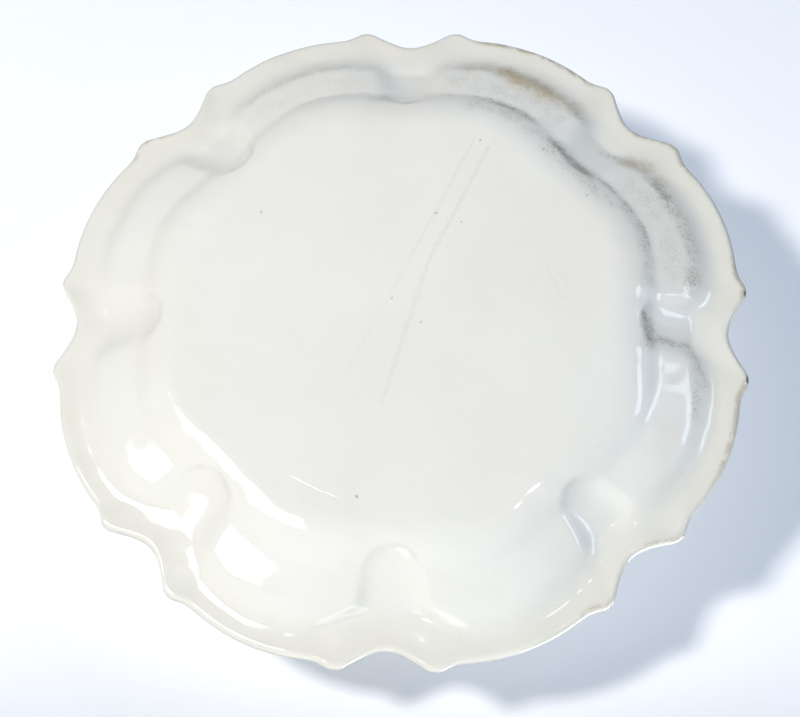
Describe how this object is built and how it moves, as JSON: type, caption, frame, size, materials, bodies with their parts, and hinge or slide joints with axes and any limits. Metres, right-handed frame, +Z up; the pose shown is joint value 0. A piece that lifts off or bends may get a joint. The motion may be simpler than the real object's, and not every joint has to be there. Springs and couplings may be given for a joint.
{
  "type": "lobed plate",
  "caption": "Large shallow dish in pale glazed earthenware with a lobed edge, cusped notches, a moulded stepped rim and a flat base.",
  "frame": {"origin": "middle of the flat base's underside, on the surface that the dish stands on", "axes": "+Z up through the middle of the dish, out of its front; +Y through the bottom of a notch in the edge"},
  "size_m": [0.3376, 0.3376, 0.0265],
  "materials": {
    "glaze": "glossy cream-white tin glaze"
  },
  "bodies": {
    "root": {"plate": "glaze"}
  },
  "joints": []
}
